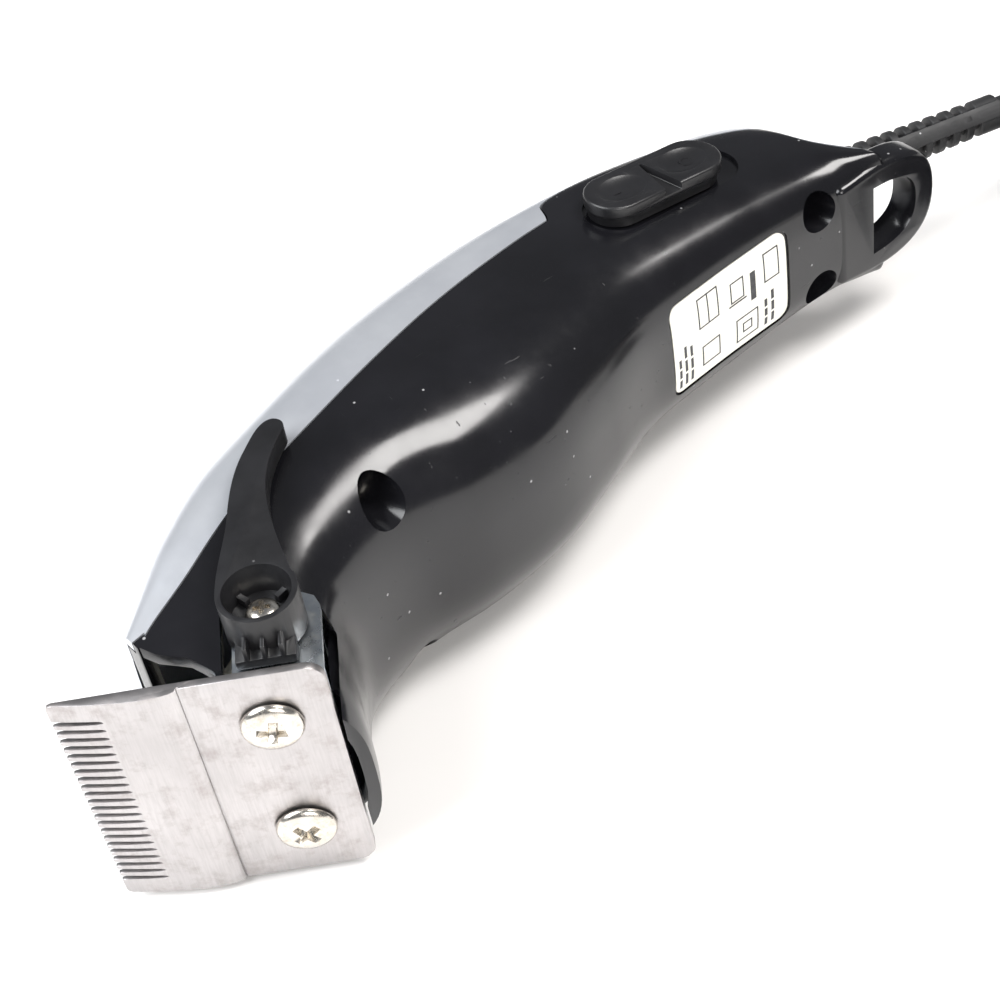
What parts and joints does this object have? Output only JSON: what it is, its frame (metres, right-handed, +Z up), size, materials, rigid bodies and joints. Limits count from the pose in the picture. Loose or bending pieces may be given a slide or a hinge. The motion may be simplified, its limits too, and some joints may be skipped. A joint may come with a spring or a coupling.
{
  "type": "hair clipper",
  "caption": "Mains hair clipper lying on its side: black case with silver cover, steel blade set with taper lever, slide switch, hanging loop and coiled mains cord with plug.",
  "frame": {"origin": "on the table, under the middle of the clipper's box measured without the free cord, its coil and its plug", "axes": "+X from the blade towards the cord along the case, +Y from the blade side of the case to the crown, +Z up out of the table, through the clipper's left side"},
  "size_m": [0.2707, 0.1136, 0.0531],
  "materials": {
    "case_black": "moulded, glossy, lightly dusty and scratched",
    "cover_silver": "satin silver paint on the moulded cover",
    "satin_black": "satin moulded",
    "blade_steel": "ground and brushed, smudged by fingers",
    "cutter_steel": "darkened carbon steel, oiled",
    "screw_nickel": "nickel-plated pan heads",
    "frame_zinc": "bright zinc-plated sheet",
    "rubber_black": "matte, soft",
    "label_paper": "cream printed film with plain bars and shapes",
    "coil_copper": "enamelled copper wire",
    "core_iron": "stacked electrical steel",
    "nylon_white": "natural nylon",
    "brass": "turned brass"
  },
  "bodies": {
    "root": {"fixed_blade": "blade_steel", "blade_screw_left": "screw_nickel", "blade_screw_right": "screw_nickel", "lower_case": "case_black", "top_cover": "cover_silver", "rating_label": "label_paper", "case_screw_1": "screw_nickel", "case_screw_2": "screw_nickel", "case_screw_3": "screw_nickel", "case_screw_4": "screw_nickel", "motor_frame": "frame_zinc", "motor_core": "core_iron", "coil_bobbin": "nylon_white", "coil_winding": "coil_copper", "core_screw_1": "screw_nickel", "core_screw_2": "screw_nickel", "pivot_post": "screw_nickel", "armature_spring": "blade_steel", "spring_post": "satin_black", "switch_body": "nylon_white", "strain_relief": "rubber_black", "cord_clamp": "nylon_white", "lead_wire_switch": "coil_copper", "lead_wire_coil": "label_paper", "cord": "rubber_black", "cord_tail": "rubber_black", "cord_coil": "rubber_black", "cord_tie": "satin_black", "plug_body": "satin_black", "plug_pin_1": "screw_nickel", "plug_pin_2": "screw_nickel"},
    "lever": {"taper_lever": "satin_black", "lever_screw": "screw_nickel", "lever_cam": "brass"},
    "taper": {"taper_slide": "frame_zinc"},
    "cutter": {"moving_blade": "cutter_steel", "drive_block": "satin_black"},
    "armature": {"armature": "core_iron", "drive_arm": "nylon_white"},
    "switch": {"switch_button": "satin_black"},
    "power_screw": {"power_screw": "brass"}
  },
  "joints": [
    {"name": "taper_lever_hinge", "type": "hinge", "parent": "root", "child": "lever", "pos_m": [-0.07656, -0.01643, 0.0496], "axis": [0, 0, -1], "range_deg": [0, 50]},
    {"name": "taper_slide_travel", "type": "slide", "parent": "root", "child": "taper", "axis": [0.809, -0.5878, 0], "range_m": [0, 0.002]},
    {"name": "armature_swing", "type": "hinge", "parent": "root", "child": "armature", "pos_m": [0.00145, 0.00697, 0.0313], "axis": [0, 1, 0], "range_deg": [-1.03, 1.03], "stiffness_Nm_per_rad": 2},
    {"name": "cutter_slide", "type": "slide", "parent": "taper", "child": "cutter", "axis": [0, 0, 1], "range_m": [-0.0017, 0.0017]},
    {"name": "switch_slide", "type": "slide", "parent": "root", "child": "switch", "axis": [0.9912, -0.0693, -0.1132], "range_m": [0, 0.004]},
    {"name": "power_screw_turn", "type": "hinge", "parent": "root", "child": "power_screw", "pos_m": [-0.02455, 0.00597, 0.0028], "axis": [0, 0, -1], "continuous": true}
  ],
  "couplings": [
    {"joint": "taper_lever_hinge", "follows": "taper_slide_travel", "rad_per_m": 436.3},
    {"joint": "cutter_slide", "follows": "armature_swing", "m_per_rad": 0.0919}
  ]
}
